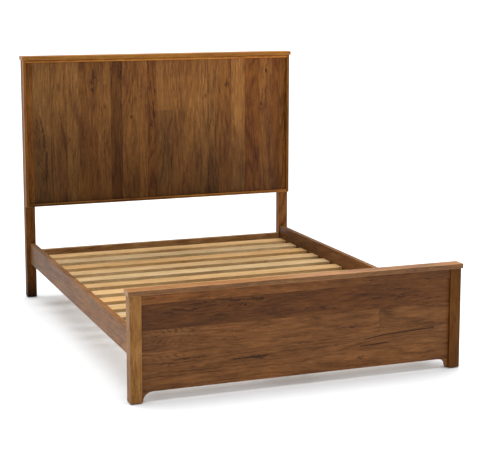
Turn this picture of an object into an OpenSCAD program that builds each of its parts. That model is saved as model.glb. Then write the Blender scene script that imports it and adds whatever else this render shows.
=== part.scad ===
// Queen-size panel bed frame in solid wood: boarded headboard, low footboard, side rails on
// hidden bed-rail fasteners, and a slat deck on a centre beam with levelling feet.
// +Y runs from the footboard to the headboard, +Z up, X = 0 is the middle of the bed.
// "left" is the -X side, as seen from the foot of the bed. All sizes are in millimetres.

/* [Bed size] */
// Width over the outer faces of the two side rails
bed_w = 1586; // [1000:2:2000]
// Length of a side rail, from footboard post to headboard post
rail_l = 2070; // [1700:5:2500]

/* [Side rails] */
// Height of the rail's top edge above the floor
rail_top = 319; // [260:1:400]
// Height of the rail board itself
rail_h = 120; // [100:1:150]
// Thickness of the rail board
rail_t = 27; // [22:1:34]

/* [Headboard] */
// Overall height of the headboard
head_h = 1396; // [1000:2:1700]
// Width of a headboard post, across the bed
head_post_w = 55; // [50:1:80]
// Depth of a headboard post, along the bed
head_post_d = 50; // [42:1:80]
// How far a headboard post stands outside the side rail
head_post_out = 22; // [16:1:26]
// Height of the boarded field's lower edge above the floor
field_z = 533; // [470:1:650]
// Thickness of the headboard boards
head_board_t = 18; // [12:1:25]
// Height of each rail behind the boards
back_rail_h = 70; // [50:1:110]
// Thickness of the edging round the boarded field
strip_t = 15; // [10:1:25]
// How far the edging stands in front of the posts
strip_d = 22; // [12:1:35]
// Thickness of the headboard cap
head_cap_t = 22; // [16:1:35]
// Cap overhang past each headboard post
head_cap_side = 6; // [3:1:15]
// Cap overhang in front of the edging
head_cap_front = 8; // [3:1:15]
// Cap overhang behind the posts
head_cap_back = 7; // [3:1:15]

/* [Footboard] */
// Overall height of the footboard
foot_h = 505; // [440:1:620]
// Width of a footboard post, across the bed
foot_post_w = 54; // [50:1:80]
// Depth of a footboard post, along the bed
foot_post_d = 57; // [52:1:80]
// How far a footboard post stands outside the side rail
foot_post_out = 18; // [12:1:24]
// Thickness of the footboard boards
foot_board_t = 20; // [16:1:24]
// How far the boards sit behind the front faces of the posts
foot_board_set = 16; // [12:1:18]
// Gap between the boards' lower edge and the floor
foot_gap = 46; // [30:1:70]
// Height of the top rail under the cap
foot_rail_h = 43; // [36:1:60]
// How far the top rail sits behind the front faces of the posts
foot_rail_set = 8; // [2:1:12]
// Thickness of the top rail
foot_rail_t = 40; // [34:1:42]
// Thickness of the footboard cap
foot_cap_t = 23; // [16:1:35]
// Cap overhang past each footboard post
foot_cap_side = 8; // [3:1:15]
// Cap overhang in front of the posts
foot_cap_front = 6; // [3:1:15]
// Cap overhang behind the posts
foot_cap_back = 5; // [3:1:15]
// Width of a quarter-round bracket
bracket_w = 50; // [30:1:90]
// Flat left on a bracket beside the post, under its hollow curve
bracket_flat = 7; // [3:1:15]

/* [Slat deck] */
// Number of slats
slat_n = 13; // [10:1:13]
// Width of a slat
slat_w = 90; // [60:1:100]
// Thickness of a slat
slat_t = 18; // [15:1:24]
// Gap from each end of the deck to the first slat
slat_end_gap = 20; // [10:1:40]
// Side clearance between a slat and the rail
slat_side_gap = 4; // [2:1:8]
// Width of the cleat that carries the slat ends
cleat_w = 30; // [24:1:40]
// Height of the cleat
cleat_h = 25; // [20:1:30]
// How far the cleat sits above the rail's lower edge
cleat_up = 4; // [2:1:10]
// Distance from each end of the rail to the cleat
cleat_end = 30; // [20:1:40]

/* [Centre support] */
// Width of the centre beam
beam_w = 45; // [38:1:60]
// Height of the centre beam
beam_h = 60; // [50:1:80]
// Thickness of the cross rail at the head
head_cross_t = 27; // [22:1:34]
// Height of the cross rails
cross_h = 110; // [95:1:120]
// Thickness of the steel beam hangers
hanger_t = 2; // [1.5:0.5:3]
// Depth of the hanger's seat under the beam
hanger_seat = 45; // [30:1:60]
// Number of centre legs
leg_n = 3; // [1:1:3]
// Width of a square centre leg
leg_w = 45; // [38:1:60]

/* [Levelling feet] */
// Diameter of the threaded stem
stem_d = 8; // [6:1:10]
// Travel of a levelling foot
foot_lift = 12; // [6:1:16]
// Diameter of the foot's pad
pad_d = 34; // [24:1:44]
// Height of the foot's pad
pad_h = 8; // [6:1:12]

/* [Bed-rail fasteners] */
// Width of a fastener plate
plate_w = 16; // [14:1:18]
// Distance from the rail's edges to the ends of a fastener plate
plate_edge = 8; // [6:1:15]
// Thickness of a fastener plate
plate_t = 2.5; // [2:0.5:3]
// Thickness of a hook
hook_t = 3; // [2:0.5:4]
// Height of a hook's shank
hook_h = 14; // [10:1:14]
// How far a hook drops behind the slotted plate
hook_drop = 10; // [6:1:10]

/* [Clearances] */
// Gap round each tenon, tongue and fastener plate
joint_gap = 0.1; // [0.05:0.05:0.3]
// Glue line between neighbouring boards
glue_line = 0.2; // [0.1:0.05:0.4]
// Radial gap between a screw and its hole
screw_gap = 0.1; // [0.05:0.05:0.3]
// Radial running gap of a threaded stem in its nut
thread_gap = 0.06; // [0.02:0.01:0.1]

/* [Hidden] */
$fn = 48;
cut = 1;                      // how far a cutting tool runs past a face
glide_h = 3;                  // height of a nail-on glide
glide_r = 12;
glide_nail_r = 1.5;
glide_nail_l = 15;
groove = 8;                   // depth of the board grooves in the footboard
tenon_l = 20;                 // headboard and footboard tenons
cross_tenon_l = 9;            // short tenons of the cross rails, clear of the fasteners
tenon_in = 10;                // height of a tenon's shoulder
tenon_side = 5;               // width of a tenon's shoulder
bracket_lip = 1;              // flat left on a bracket's thin end
hook_reach = 4;               // thickness of a hook's nose
hook_gap = 0.4;               // play between a hook and the slotted plate
hook_share = [0.06, -0.25];   // lower edge of each hook's shank, as a share of the plate
plate_screw_in = 7;           // plate screws from the ends of the plate
hole_over = 1;                // pilot holes run past the screw's point by this
beam_end_gap = 0.5;           // beam end to the hanger's back
hanger_gap = 0.3;             // beam side to the hanger's wall
hanger_wall = 45;             // height of the hanger's side walls
hanger_flange = 25;           // width of each hanger flange
collar_h = 5;                 // hexagon on the stem
collar_af_r = 7.5;            // its radius over the corners
pivot_gap = 0.3;              // stem shoulder to pad
stop_gap = 0.7;               // collar to nut flange with the foot screwed right in
nut_flange_r = 10;
nut_flange_t = 2;
nut_barrel_r = stem_d / 2 + 1.5;
nut_barrel_l = 12;
pad_floor = 3;                // pad thickness under the stem
stem_in_leg = 22;             // stem inside the leg with the foot screwed right out
bolt_r = 4;                   // hanger bolt between a leg and the beam
bolt_half = 42;

// [shank radius, head radius, head height, length] of each kind of wood screw
plate_screw = [1.9, 3.8, 2.2, 25];
deck_screw = [2, 4, 2.4, 34];
cleat_screw = [2, 4, 2.4, 46];
hanger_screw = [1.9, 3.6, 1.9, 16];

// Relative widths of the headboard boards from left to right, and of the footboard
// boards from the floor up.
head_shares = [100, 96, 72, 112, 78, 70, 104, 48, 56, 100, 88, 50, 80, 73, 80, 86, 96, 82, 49];
foot_shares = [88, 92, 94, 127];
// One board of each panel is pieced from two lengths: its number, and where the joint is.
head_joint = [9, 0.63];
foot_joint = [2, 0.757];

// Running total of a list up to entry n
function upto(list, n) = n == 0 ? 0 : list[n - 1] + upto(list, n - 1);
// Share of the total that lies below entry n
function part_of(list, n) = upto(list, n) / upto(list, len(list));

// Places across the bed
rail_out = bed_w / 2;
rail_in = rail_out - rail_t;
rail_mid = rail_out - rail_t / 2;
foot_out = rail_out + foot_post_out;
foot_in = foot_out - foot_post_w;
head_out = rail_out + head_post_out;
head_in = head_out - head_post_w;

// Places along the bed
total_l = foot_cap_front + foot_post_d + rail_l + head_post_d + head_cap_back;
foot_face = foot_cap_front - total_l / 2;
foot_back = foot_face + foot_post_d;
head_face = foot_back + rail_l;
head_back = head_face + head_post_d;
foot_board = [foot_face + foot_board_set, foot_face + foot_board_set + foot_board_t];
foot_rail = [foot_face + foot_rail_set, foot_face + foot_rail_set + foot_rail_t];
head_board = [head_face, head_face + head_board_t];

// Bed-rail fasteners, from the middle of the plate
plate_h = rail_h - 2 * plate_edge;
plate_screw_z = plate_h / 2 - plate_screw_in;
hook_z = [for (share = hook_share) share * plate_h];
hook_screw_z = (hook_z[0] + hook_z[1] + hook_h) / 2;

// Heights
rail_z = rail_top - rail_h;
rail_mid_z = rail_top - rail_h / 2;
foot_post_top = foot_h - foot_cap_t;
head_post_top = head_h - head_cap_t;
foot_rail_z = foot_post_top - foot_rail_h;
foot_board_top = foot_rail_z + groove;
deck_z = rail_z + cleat_up + cleat_h;
beam_z = deck_z - beam_h;
cross_z = beam_z - hanger_t;
leg_z = pad_h + pivot_gap + collar_h + foot_lift + stop_gap + nut_flange_t;
stem_top = leg_z + stem_in_leg;

// Slat and leg places
slat_pitch = (rail_l - 2 * slat_end_gap - slat_w) / (slat_n - 1);
leg_pitch = rail_l / (leg_n + 1);
slat_x = rail_in - slat_side_gap;
slat_screw_x = [-(rail_in - cleat_w / 2), 0, rail_in - cleat_w / 2];
function slat_y(i) = foot_back + slat_end_gap + slat_w / 2 + i * slat_pitch;
function leg_y(i) = foot_back + (i + 1) * leg_pitch;

// A box from its lowest to its highest value along each axis
module block(x, y, z) {
    translate([x[0], y[0], z[0]]) cube([x[1] - x[0], y[1] - y[0], z[1] - z[0]]);
}

// The same box, larger by a gap on every side
module block_hole(x, y, z, gap = joint_gap) {
    block([x[0] - gap, x[1] + gap], [y[0] - gap, y[1] + gap], [z[0] - gap, z[1] + gap]);
}

// Countersunk wood screw, its head's face at the origin and its point down -Z
module screw(size, gap = 0, over = 0) {
    shank_r = size[0] + gap;
    head_r = size[1] + gap;
    translate([0, 0, -size[2]]) cylinder(h = size[2], r1 = shank_r, r2 = head_r);
    translate([0, 0, -size[3] - over]) cylinder(h = size[3] + over - size[2], r = shank_r);
}

// The hole that a screw goes into, open at the head
module screw_hole(size) {
    screw(size, gap = screw_gap, over = hole_over);
    translate([0, 0, -0.01]) cylinder(h = cut, r = size[1] + screw_gap);
}

// Puts its children on the left, turned over the middle of the bed
module on_left() {
    mirror([1, 0, 0]) children();
}

// ---- Places that pieces share ----

// The four rail ends: +Y points out of the rail and into the post
module at_rail_ends() {
    for (side = [-1, 1]) {
        translate([side * rail_mid, head_face, rail_mid_z]) children();
        translate([side * rail_mid, foot_back, rail_mid_z]) rotate([0, 0, 180]) children();
    }
}

// The undersides of the four posts
module at_post_feet() {
    for (side = [-1, 1]) {
        translate([side * (foot_out - foot_post_w / 2), foot_face + foot_post_d / 2, 0]) children();
        translate([side * (head_out - head_post_w / 2), head_face + head_post_d / 2, 0]) children();
    }
}

// The two ends of the beam: +Y points out of the beam and into the cross rail
module at_beam_ends() {
    at_head_beam_end() children();
    at_foot_beam_end() children();
}

module at_head_beam_end() {
    translate([0, head_face, beam_z]) children();
}

module at_foot_beam_end() {
    translate([0, foot_back, beam_z]) rotate([0, 0, 180]) children();
}

module at_legs() {
    for (i = [0:leg_n - 1]) translate([0, leg_y(i), 0]) children();
}

// Each kind of screw, placed with its head's face at the origin
module at_hook_plate_screws() {
    at_rail_ends() for (z = [-plate_screw_z, hook_screw_z, plate_screw_z]) {
        translate([0, 0, z]) rotate([-90, 0, 0]) children();
    }
}

module at_slot_plate_screws() {
    at_rail_ends() for (z = [-plate_screw_z, plate_screw_z]) {
        translate([0, 0, z]) rotate([90, 0, 0]) children();
    }
}

module at_slat_screws(i) {
    for (x = slat_screw_x) translate([x, slat_y(i), deck_z + slat_t]) children();
}

module at_cleat_screws() {
    for (i = [0:2:slat_n - 2]) {
        translate([rail_in - cleat_w, slat_y(i) + slat_pitch / 2, deck_z - cleat_h / 2]) {
            rotate([0, -90, 0]) children();
        }
    }
}

module at_hanger_flange_screws() {
    for (side = [-1, 1], up = [0.3, 0.8]) {
        x = beam_w / 2 + hanger_gap + hanger_t + hanger_flange / 2;
        translate([side * x, -hanger_t, up * hanger_wall]) rotate([90, 0, 0]) children();
    }
}

module at_hanger_wall_screws() {
    for (side = [-1, 1]) {
        x = beam_w / 2 + hanger_gap + hanger_t;
        translate([side * x, -hanger_seat * 0.6, hanger_wall / 2]) {
            rotate([0, side * 90, 0]) children();
        }
    }
}

// ---- Joinery ----

// A rail between two posts, with a tenon at each end
module tenon_rail(half, y, z, tenon) {
    block([-half, half], y, z);
    block([-half - tenon, half + tenon],
          [y[0] + tenon_side, y[1] - tenon_side],
          [z[0] + tenon_in, z[1] - tenon_in]);
}

// The mortise in the post on the right
module mortise(face, y, z, tenon) {
    block_hole([face - cut, face + tenon],
               [y[0] + tenon_side, y[1] - tenon_side],
               [z[0] + tenon_in, z[1] - tenon_in]);
}

// ---- Bed-rail fasteners ----

module rail_hook_plates() {
    color([0.62, 0.60, 0.52]) at_rail_ends() difference() {
        union() {
            block([-plate_w / 2, plate_w / 2], [-plate_t, 0], [-plate_h / 2, plate_h / 2]);
            for (z = hook_z) hook(z);
        }
        for (z = [-plate_screw_z, hook_screw_z, plate_screw_z]) {
            translate([0, 0, z]) rotate([-90, 0, 0]) screw_hole(plate_screw);
        }
    }
}

// One hook, its shank's lower edge at height z
module hook(z) {
    nose_y = plate_t + hook_gap;
    block([-hook_t / 2, hook_t / 2], [-plate_t, nose_y + hook_reach], [z, z + hook_h]);
    block([-hook_t / 2, hook_t / 2], [nose_y, nose_y + hook_reach], [z - hook_drop, z + hook_h]);
}

module post_slot_plates() {
    color([0.62, 0.60, 0.52]) at_rail_ends() difference() {
        block([-plate_w / 2, plate_w / 2], [0, plate_t], [-plate_h / 2, plate_h / 2]);
        for (z = hook_z) {
            block([-hook_t / 2 - hook_gap, hook_t / 2 + hook_gap],
                  [-cut, plate_t + cut],
                  [z, z + hook_h + hook_drop + 1]);
        }
        for (z = [-plate_screw_z, plate_screw_z]) {
            translate([0, 0, z]) rotate([90, 0, 0]) screw_hole(plate_screw);
        }
    }
}

module plate_screws() {
    color([0.75, 0.74, 0.70]) {
        at_hook_plate_screws() screw(plate_screw);
        at_slot_plate_screws() screw(plate_screw);
    }
}

// What the hook plates take out of the ends of a rail
module hook_plate_recess() {
    at_rail_ends() {
        block_hole([-plate_w / 2, plate_w / 2], [-plate_t, cut], [-plate_h / 2, plate_h / 2]);
    }
    at_hook_plate_screws() screw_hole(plate_screw);
}

// What the slotted plates and the hooks behind them take out of a post
module slot_plate_recess() {
    at_rail_ends() {
        block_hole([-plate_w / 2, plate_w / 2], [-cut, plate_t], [-plate_h / 2, plate_h / 2]);
        block([-hook_t, hook_t],
              [0, plate_t + hook_gap + hook_reach + 2],
              [hook_z[1] - hook_drop - 1, hook_z[0] + hook_h + hook_drop + 1]);
    }
    at_slot_plate_screws() screw_hole(plate_screw);
}

// ---- Headboard ----

back_rail_y = [head_face + head_board_t, head_back];
back_rail_top_z = [head_post_top - back_rail_h, head_post_top];
back_rail_mid_z = (field_z + head_post_top) / 2;
back_rail_middle_z = [back_rail_mid_z - back_rail_h / 2, back_rail_mid_z + back_rail_h / 2];
back_rail_bottom_z = [field_z, field_z + back_rail_h];
head_cross_y = [head_face, head_face + head_cross_t];
foot_cross_y = [foot_board[1], foot_back];
cross_rail_z = [cross_z, cross_z + cross_h];

module headboard_post_right() {
    color([0.36, 0.20, 0.10]) difference() {
        block([head_in, head_out], [head_face, head_back], [glide_h, head_post_top]);
        for (z = [back_rail_top_z, back_rail_middle_z, back_rail_bottom_z]) {
            mortise(head_in, back_rail_y, z, tenon_l);
        }
        mortise(head_in, head_cross_y, cross_rail_z, cross_tenon_l);
        slot_plate_recess();
        glide_holes();
    }
}

module headboard_post_left() {
    on_left() headboard_post_right();
}

// Vertical boards, glued edge to edge between the posts
module headboard_planks() {
    color([0.43, 0.27, 0.15]) for (i = [0:len(head_shares) - 1]) {
        x0 = -head_in + 2 * head_in * part_of(head_shares, i) + glue_line / 2;
        x1 = -head_in + 2 * head_in * part_of(head_shares, i + 1) - glue_line / 2;
        joint_z = field_z + head_joint[1] * (head_post_top - field_z);
        if (i == head_joint[0]) {
            block([x0, x1], head_board, [field_z, joint_z - glue_line]);
            block([x0, x1], head_board, [joint_z, head_post_top]);
        } else {
            block([x0, x1], head_board, [field_z, head_post_top]);
        }
    }
}

module headboard_cap() {
    color([0.65, 0.44, 0.23]) block(
        [-head_out - head_cap_side, head_out + head_cap_side],
        [head_face - strip_d - head_cap_front, head_back + head_cap_back],
        [head_post_top, head_h]
    );
}

// Edging: two uprights on the posts, two lengths between them
module headboard_strip_right() {
    color([0.60, 0.40, 0.22]) block(
        [head_out - strip_t, head_out], [head_face - strip_d, head_face], [field_z, head_post_top]
    );
}

module headboard_strip_left() {
    on_left() headboard_strip_right();
}

module headboard_strip_bottom() {
    color([0.60, 0.40, 0.22]) block(
        [strip_t - head_out, head_out - strip_t],
        [head_face - strip_d, head_face],
        [field_z, field_z + strip_t]
    );
}

module headboard_strip_top() {
    translate([0, 0, head_post_top - field_z - strip_t]) headboard_strip_bottom();
}

module headboard_back_rail_top() {
    color([0.50, 0.33, 0.19]) tenon_rail(head_in, back_rail_y, back_rail_top_z, tenon_l);
}

module headboard_back_rail_middle() {
    color([0.50, 0.33, 0.19]) tenon_rail(head_in, back_rail_y, back_rail_middle_z, tenon_l);
}

module headboard_back_rail_bottom() {
    color([0.50, 0.33, 0.19]) tenon_rail(head_in, back_rail_y, back_rail_bottom_z, tenon_l);
}

// ---- Footboard ----

foot_rail_span = [foot_rail_z, foot_post_top];

module footboard_post_right() {
    color([0.57, 0.41, 0.24]) difference() {
        block([foot_in, foot_out], [foot_face, foot_back], [glide_h, foot_post_top]);
        block_hole([foot_in - cut, foot_in + groove], foot_board, [foot_gap, foot_board_top]);
        mortise(foot_in, foot_rail, foot_rail_span, tenon_l);
        mortise(foot_in, foot_cross_y, cross_rail_z, cross_tenon_l);
        slot_plate_recess();
        glide_holes();
    }
}

module footboard_post_left() {
    on_left() footboard_post_right();
}

module footboard_top_rail() {
    color([0.48, 0.31, 0.18]) difference() {
        tenon_rail(foot_in, foot_rail, foot_rail_span, tenon_l);
        block_hole([-foot_in - cut, foot_in + cut], foot_board, [foot_rail_z - cut, foot_board_top]);
    }
}

// Horizontal boards, glued edge to edge; their ends and top edge sit in the grooves
module footboard_planks() {
    board_span = foot_board_top - foot_gap;
    half = foot_in + groove;
    color([0.42, 0.27, 0.15]) for (i = [0:len(foot_shares) - 1]) {
        z0 = foot_gap + board_span * part_of(foot_shares, i);
        z1 = foot_gap + board_span * part_of(foot_shares, i + 1);
        top = i == len(foot_shares) - 1 ? z1 : z1 - glue_line;
        joint_x = -half + foot_joint[1] * 2 * half;
        if (i == foot_joint[0]) {
            block([-half, joint_x - glue_line], foot_board, [z0, top]);
            block([joint_x, half], foot_board, [z0, top]);
        } else {
            block([-half, half], foot_board, [z0, top]);
        }
    }
}

module footboard_cap() {
    color([0.70, 0.50, 0.33]) block(
        [-foot_out - foot_cap_side, foot_out + foot_cap_side],
        [foot_face - foot_cap_front, foot_back + foot_cap_back],
        [foot_post_top, foot_h]
    );
}

// Block with a hollow quarter round, under the boards beside a post
module footboard_bracket_right() {
    hollow_r = bracket_w - bracket_flat;
    hollow_x = foot_in - bracket_w;
    hollow_z = foot_gap - bracket_lip - hollow_r;
    color([0.45, 0.29, 0.16]) difference() {
        block([hollow_x, foot_in], foot_board, [glide_h, foot_gap]);
        translate([hollow_x, foot_board[0] - cut, hollow_z]) {
            rotate([-90, 0, 0]) cylinder(h = foot_board_t + 2 * cut, r = hollow_r, $fn = 96);
        }
        block([hollow_x - cut, hollow_x + hollow_r],
              [foot_board[0] - cut, foot_board[1] + cut],
              [min(0, hollow_z) - cut, hollow_z]);
    }
}

module footboard_bracket_left() {
    on_left() footboard_bracket_right();
}

// ---- Glides ----

module post_glides() {
    color([0.12, 0.12, 0.12]) at_post_feet() {
        cylinder(h = glide_h, r = glide_r);
        cylinder(h = glide_h + glide_nail_l, r = glide_nail_r);
    }
}

module glide_holes() {
    at_post_feet() cylinder(h = glide_h + glide_nail_l + hole_over, r = glide_nail_r + screw_gap);
}

// ---- Side rails and cleats ----

module side_rail_right() {
    color([0.55, 0.42, 0.31]) difference() {
        block([rail_in, rail_out], [foot_back, head_face], [rail_z, rail_top]);
        hook_plate_recess();
        at_cleat_screws() screw_hole(cleat_screw);
    }
}

module side_rail_left() {
    on_left() side_rail_right();
}

module slat_cleat_right() {
    color([0.66, 0.52, 0.36]) difference() {
        block([rail_in - cleat_w, rail_in],
              [foot_back + cleat_end, head_face - cleat_end],
              [deck_z - cleat_h, deck_z]);
        at_cleat_screws() screw_hole(cleat_screw);
        for (i = [0:slat_n - 1]) at_slat_screws(i) screw_hole(deck_screw);
    }
}

module slat_cleat_left() {
    on_left() slat_cleat_right();
}

module cleat_screws() {
    color([0.75, 0.72, 0.55]) {
        at_cleat_screws() screw(cleat_screw);
        on_left() at_cleat_screws() screw(cleat_screw);
    }
}

// ---- Slats ----

module slat(i) {
    color([0.80, 0.68, 0.50]) difference() {
        block([-slat_x, slat_x],
              [slat_y(i) - slat_w / 2, slat_y(i) + slat_w / 2],
              [deck_z, deck_z + slat_t]);
        at_slat_screws(i) screw_hole(deck_screw);
    }
}

module slat_screws() {
    color([0.75, 0.72, 0.55]) for (i = [0:slat_n - 1]) at_slat_screws(i) screw(deck_screw);
}

// ---- Centre support ----

beam_half = rail_l / 2 - hanger_t - beam_end_gap;
beam_mid_y = (foot_back + head_face) / 2;

module centre_beam() {
    color([0.62, 0.46, 0.30]) difference() {
        block([-beam_w / 2, beam_w / 2],
              [beam_mid_y - beam_half, beam_mid_y + beam_half],
              [beam_z, deck_z]);
        for (i = [0:slat_n - 1]) at_slat_screws(i) screw_hole(deck_screw);
        at_beam_ends() at_hanger_wall_screws() screw_hole(hanger_screw);
        leg_bolt_holes();
    }
}

module head_cross_rail() {
    color([0.50, 0.33, 0.19]) difference() {
        tenon_rail(head_in, head_cross_y, cross_rail_z, cross_tenon_l);
        at_head_beam_end() at_hanger_flange_screws() screw_hole(hanger_screw);
    }
}

module foot_cross_rail() {
    color([0.50, 0.33, 0.19]) difference() {
        tenon_rail(foot_in, foot_cross_y, cross_rail_z, cross_tenon_l);
        at_foot_beam_end() at_hanger_flange_screws() screw_hole(hanger_screw);
    }
}

// Folded steel saddle: seat, two walls, back and two flanges
module beam_hanger() {
    inner = beam_w / 2 + hanger_gap;
    outer = inner + hanger_t;
    color([0.70, 0.71, 0.72]) difference() {
        union() {
            block([-outer, outer], [-hanger_seat, 0], [-hanger_t, 0]);
            block([-outer, outer], [-hanger_t, 0], [-hanger_t, hanger_wall]);
            for (side = [-1, 1]) {
                x = [min(side * inner, side * outer), max(side * inner, side * outer)];
                block(x, [-hanger_seat, 0], [-hanger_t, hanger_wall]);
                flange = [side * outer, side * (outer + hanger_flange)];
                block([min(flange), max(flange)], [-hanger_t, 0], [-hanger_t, hanger_wall]);
            }
        }
        at_hanger_flange_screws() screw_hole(hanger_screw);
        at_hanger_wall_screws() screw_hole(hanger_screw);
    }
}

module beam_hanger_head() {
    at_head_beam_end() beam_hanger();
}

module beam_hanger_foot() {
    at_foot_beam_end() beam_hanger();
}

module hanger_screws() {
    color([0.75, 0.72, 0.55]) at_beam_ends() {
        at_hanger_flange_screws() screw(hanger_screw);
        at_hanger_wall_screws() screw(hanger_screw);
    }
}

module leg_bolt_holes() {
    at_legs() translate([0, 0, beam_z - bolt_half - hole_over]) {
        cylinder(h = 2 * (bolt_half + hole_over), r = bolt_r + screw_gap);
    }
}

module leg_bolts() {
    color([0.70, 0.71, 0.72]) at_legs() {
        translate([0, 0, beam_z - bolt_half]) cylinder(h = 2 * bolt_half, r = bolt_r);
    }
}

module centre_leg(i) {
    color([0.50, 0.35, 0.22]) difference() {
        translate([-leg_w / 2, leg_y(i) - leg_w / 2, leg_z]) cube([leg_w, leg_w, beam_z - leg_z]);
        leg_bolt_holes();
        translate([0, leg_y(i), leg_z - cut]) {
            cylinder(h = cut + nut_barrel_l + hole_over, r = nut_barrel_r + joint_gap);
            cylinder(h = cut + stem_in_leg + foot_lift + 2, r = stem_d / 2 + 0.5);
        }
    }
}

module leg_tee_nuts() {
    color([0.70, 0.71, 0.72]) at_legs() translate([0, 0, leg_z]) difference() {
        union() {
            translate([0, 0, -nut_flange_t]) cylinder(h = nut_flange_t, r = nut_flange_r);
            cylinder(h = nut_barrel_l, r = nut_barrel_r);
        }
        translate([0, 0, -nut_flange_t - cut]) {
            cylinder(h = nut_barrel_l + nut_flange_t + 2 * cut, r = stem_d / 2 + thread_gap);
        }
    }
}

// ---- Levelling feet ----

module leveller_pad(i) {
    color([0.10, 0.10, 0.10]) translate([0, leg_y(i), 0]) difference() {
        union() {
            cylinder(h = pad_h / 2, r = pad_d / 2);
            translate([0, 0, pad_h / 2]) cylinder(h = pad_h / 2, r1 = pad_d / 2, r2 = pad_d / 3);
        }
        translate([0, 0, pad_floor]) cylinder(h = pad_h, r = stem_d / 2 + thread_gap);
    }
}

// Threaded stem with the hexagon that a spanner turns
module leveller_stem(i) {
    color([0.72, 0.73, 0.74]) translate([0, leg_y(i), 0]) {
        translate([0, 0, pad_floor + pivot_gap]) {
            cylinder(h = stem_top - pad_floor - pivot_gap, r = stem_d / 2);
        }
        translate([0, 0, pad_h + pivot_gap]) cylinder(h = collar_h, r = collar_af_r, $fn = 6);
    }
}

headboard_post_left();
headboard_post_right();
headboard_planks();
headboard_cap();
headboard_strip_top();
headboard_strip_bottom();
headboard_strip_left();
headboard_strip_right();
headboard_back_rail_top();
headboard_back_rail_middle();
headboard_back_rail_bottom();
footboard_post_left();
footboard_post_right();
footboard_top_rail();
footboard_planks();
footboard_cap();
footboard_bracket_left();
footboard_bracket_right();
post_glides();
side_rail_left();
side_rail_right();
slat_cleat_left();
slat_cleat_right();
cleat_screws();
rail_hook_plates();
post_slot_plates();
plate_screws();
slat_screws();
centre_beam();
head_cross_rail();
foot_cross_rail();
beam_hanger_head();
beam_hanger_foot();
hanger_screws();
leg_bolts();
leg_tee_nuts();
for (i = [1:slat_n]) slat(i - 1);
for (i = [1:leg_n]) centre_leg(i - 1);
for (i = [1:leg_n]) leveller_pad(i - 1);
for (i = [1:leg_n]) leveller_stem(i - 1);
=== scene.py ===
import math
import bmesh
import bpy
import numpy as np
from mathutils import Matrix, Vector


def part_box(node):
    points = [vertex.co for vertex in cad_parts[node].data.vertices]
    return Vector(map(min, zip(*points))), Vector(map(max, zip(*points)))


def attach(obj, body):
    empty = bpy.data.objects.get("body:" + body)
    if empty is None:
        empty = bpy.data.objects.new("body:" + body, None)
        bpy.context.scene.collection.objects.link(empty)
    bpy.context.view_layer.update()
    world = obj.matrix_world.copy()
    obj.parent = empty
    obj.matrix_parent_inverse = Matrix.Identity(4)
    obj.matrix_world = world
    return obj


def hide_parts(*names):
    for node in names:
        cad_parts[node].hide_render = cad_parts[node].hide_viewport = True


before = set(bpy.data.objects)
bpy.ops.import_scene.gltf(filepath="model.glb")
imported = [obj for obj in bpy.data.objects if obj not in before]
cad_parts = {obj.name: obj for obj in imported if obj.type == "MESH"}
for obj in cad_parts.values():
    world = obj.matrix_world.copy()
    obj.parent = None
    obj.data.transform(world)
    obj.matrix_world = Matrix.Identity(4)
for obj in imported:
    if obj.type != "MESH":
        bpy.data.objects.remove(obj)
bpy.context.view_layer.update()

# Headboard posts. Two square-sawn hardwood posts stand behind the ends of the headboard, and the
# board field and the cap are fixed to them. Their arrises are eased with a plane, then the
# whole bed is stained brown and sealed with a thin satin lacquer.
GRAIN_X, GRAIN_Y, GRAIN_Z = 0, 1, 2
# a board's rounding, the spacing of its points along the grain and across it, how its colour is toned and
# warmed, darkened or lightened on the faces at a narrow edge, and faded from one end and from the other,
# which on some boards carries painted shade, and the marks in it
PLAIN_BOARD = dict(ease=0.0014, along=0.10, across=0.03, tone=0.0, warm=0.0, edge=0.0, fade=(0.0, 0.0),
                   fall=1, streaks=(), knots=(), peaks=(), cracks=())
FAR_FROM_CRACK, CRACK_BAND = 1.0, 0.009


def linear(shade):
    """A finish colour from a swatch such as 7A5030, in the linear values that shaders hold."""
    parts = [int(shade[i:i + 2], 16) / 255 for i in (0, 2, 4)]
    return [c / 12.92 if c <= 0.04045 else ((c + 0.055) / 1.055) ** 2.4 for c in parts] + [1.0]


def sawn_board(low, high, run, ease, along, across):
    """Points, faces and arris marks of one sawn board whose edges are eased, with a grid on each face."""
    low, high = np.array(low, float), np.array(high, float)
    lines = []
    for axis in range(3):
        spacing = along if axis == run else across
        cells = max(1, round((high[axis] - low[axis] - 2 * ease) / spacing))
        between = np.linspace(low[axis] + ease, high[axis] - ease, cells + 1)
        lines.append(np.concatenate([[low[axis]], between, [high[axis]]]))
    count = np.array([len(line) for line in lines])
    place = np.stack(np.meshgrid(*[np.arange(k) for k in count], indexing="ij"), -1)
    outer = (place == 0) | (place == count - 1)
    skin = outer.any(-1)
    index = -np.ones(count, int)
    index[skin] = np.arange(skin.sum())
    points = np.stack([lines[axis][place[..., axis][skin]] for axis in range(3)], -1)
    faces = []
    for axis in range(3):
        for side in (0, count[axis] - 1):
            sheet = np.take(index, side, axis)
            quads = np.stack([sheet[:-1, :-1], sheet[1:, :-1], sheet[1:, 1:], sheet[:-1, 1:]], -1)
            quads = quads.reshape(-1, 4)
            faces.append(quads if (side > 0) == (axis != 1) else quads[:, ::-1])
    core = np.clip(points, low + ease, high - ease)
    reach = points - core
    points = core + reach / np.maximum(np.linalg.norm(reach, axis=1, keepdims=True), 1e-9) * ease
    return points, np.concatenate(faces), outer[skin].sum(1) > 1


def marks_on(marks, low, high):
    """The marks that lie on this board. Each mark starts with its place across and up the bed."""
    return [mark for mark in marks if low[0] <= mark[0] <= high[0] and low[2] <= mark[1] <= high[2]]


def from_mark(points, x, z, run, face):
    """How far each point is from a mark, along the grain and across it."""
    place = {GRAIN_X: x, GRAIN_Z: z}
    return points[:, run] - place[run], points[:, face] - place[face]


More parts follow.
